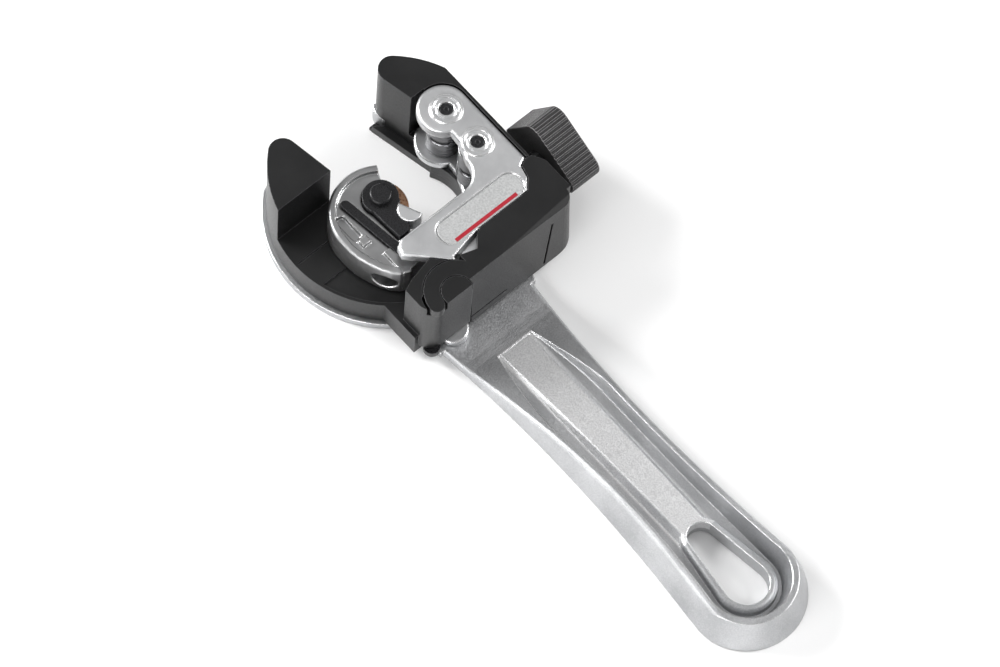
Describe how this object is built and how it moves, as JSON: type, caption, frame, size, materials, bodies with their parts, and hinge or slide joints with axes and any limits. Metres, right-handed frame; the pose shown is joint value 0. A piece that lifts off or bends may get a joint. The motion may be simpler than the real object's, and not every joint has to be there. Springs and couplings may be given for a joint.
{
  "type": "ratcheting pipe cutter",
  "caption": "Open-throat tube cutter on a ratcheting ring handle, with a sprung cutting-wheel slide, guide rollers, a side gate and a ribbed feed knob.",
  "frame": {"origin": "axis of the ratchet ring, at the ring's underside", "axes": "+X along the handle to the grip end, +Y the way the cutting wheel feeds towards the rollers, +Z out of the open face of the cutter head"},
  "size_m": [0.236, 0.1005, 0.0383],
  "materials": {
    "cast": "blasted",
    "black": "fine grain",
    "silver": "satin",
    "dark_steel": "oiled",
    "wheel": "worn edge",
    "knob": "ribbed",
    "label": "printed"
  },
  "bodies": {
    "base": {"handle": "cast", "pawl_pin_a": "silver", "pawl_pin_b": "silver", "pawl_spring_a": "silver", "pawl_spring_b": "silver"},
    "pawl_1": {"pawl_a": "dark_steel"},
    "pawl_2": {"pawl_b": "dark_steel"},
    "head": {"cradle": "black", "retainer": "black", "retainer_screws": "dark_steel", "hinge_pin": "silver", "stop_pin": "dark_steel", "cutter_body": "silver", "label_plate": "label", "roller_pin_a": "dark_steel", "roller_pin_b": "dark_steel"},
    "door": {"gate": "black"},
    "front_roller": {"roller_a": "dark_steel"},
    "back_roller": {"roller_b": "dark_steel"},
    "carriage": {"slide": "silver", "wheel_arm": "dark_steel", "insert": "silver", "wheel_pin": "dark_steel", "guide_bar": "dark_steel", "feed_spring": "silver"},
    "wheel": {"cutting_wheel": "wheel"},
    "feed": {"knob": "knob", "feed_screw": "dark_steel", "knob_screw": "dark_steel"}
  },
  "joints": [
    {"name": "head_swing", "type": "hinge", "parent": "base", "child": "head", "pos_m": [0, 0, 0.004], "axis": [0, 0, 1], "continuous": true},
    {"name": "pawl_rock_1", "type": "hinge", "parent": "base", "child": "pawl_1", "pos_m": [0.02245, 0.02685, 0.0055], "axis": [0, 0, 1], "range_deg": [0, 7], "stiffness_Nm_per_rad": 0.02, "deforming": ["pawl_spring_a"]},
    {"name": "pawl_rock_2", "type": "hinge", "parent": "base", "child": "pawl_2", "pos_m": [0.02955, -0.01875, 0.0055], "axis": [0, 0, 1], "range_deg": [0, 7], "stiffness_Nm_per_rad": 0.02, "deforming": ["pawl_spring_b"]},
    {"name": "gate_swing", "type": "hinge", "parent": "head", "child": "door", "pos_m": [0.0493, -0.0132, 0.035], "axis": [0, 0, 1], "range_deg": [-30, 0]},
    {"name": "roller_spin_1", "type": "hinge", "parent": "head", "child": "front_roller", "pos_m": [-0.00394, 0.0281, 0.0232], "axis": [0, 0, 1], "continuous": true},
    {"name": "roller_spin_2", "type": "hinge", "parent": "head", "child": "back_roller", "pos_m": [0.01206, 0.0281, 0.0232], "axis": [0, 0, 1], "continuous": true},
    {"name": "wheel_feed", "type": "slide", "parent": "head", "child": "carriage", "axis": [0, 1, 0], "range_m": [-0.0086, 0.016], "stiffness_N_per_m": 200, "deforming": ["feed_spring"]},
    {"name": "wheel_spin", "type": "hinge", "parent": "carriage", "child": "wheel", "pos_m": [0.00406, -0.0077, 0.022], "axis": [0, 0, 1], "continuous": true},
    {"name": "knob_turn", "type": "hinge", "parent": "head", "child": "feed", "pos_m": [0.0253, 0.05, 0.0214], "axis": [0, 1, 0], "range_deg": [-1548, 2880]}
  ],
  "couplings": [
    {"joint": "knob_turn", "follows": "wheel_feed", "rad_per_m": 3141.6}
  ]
}
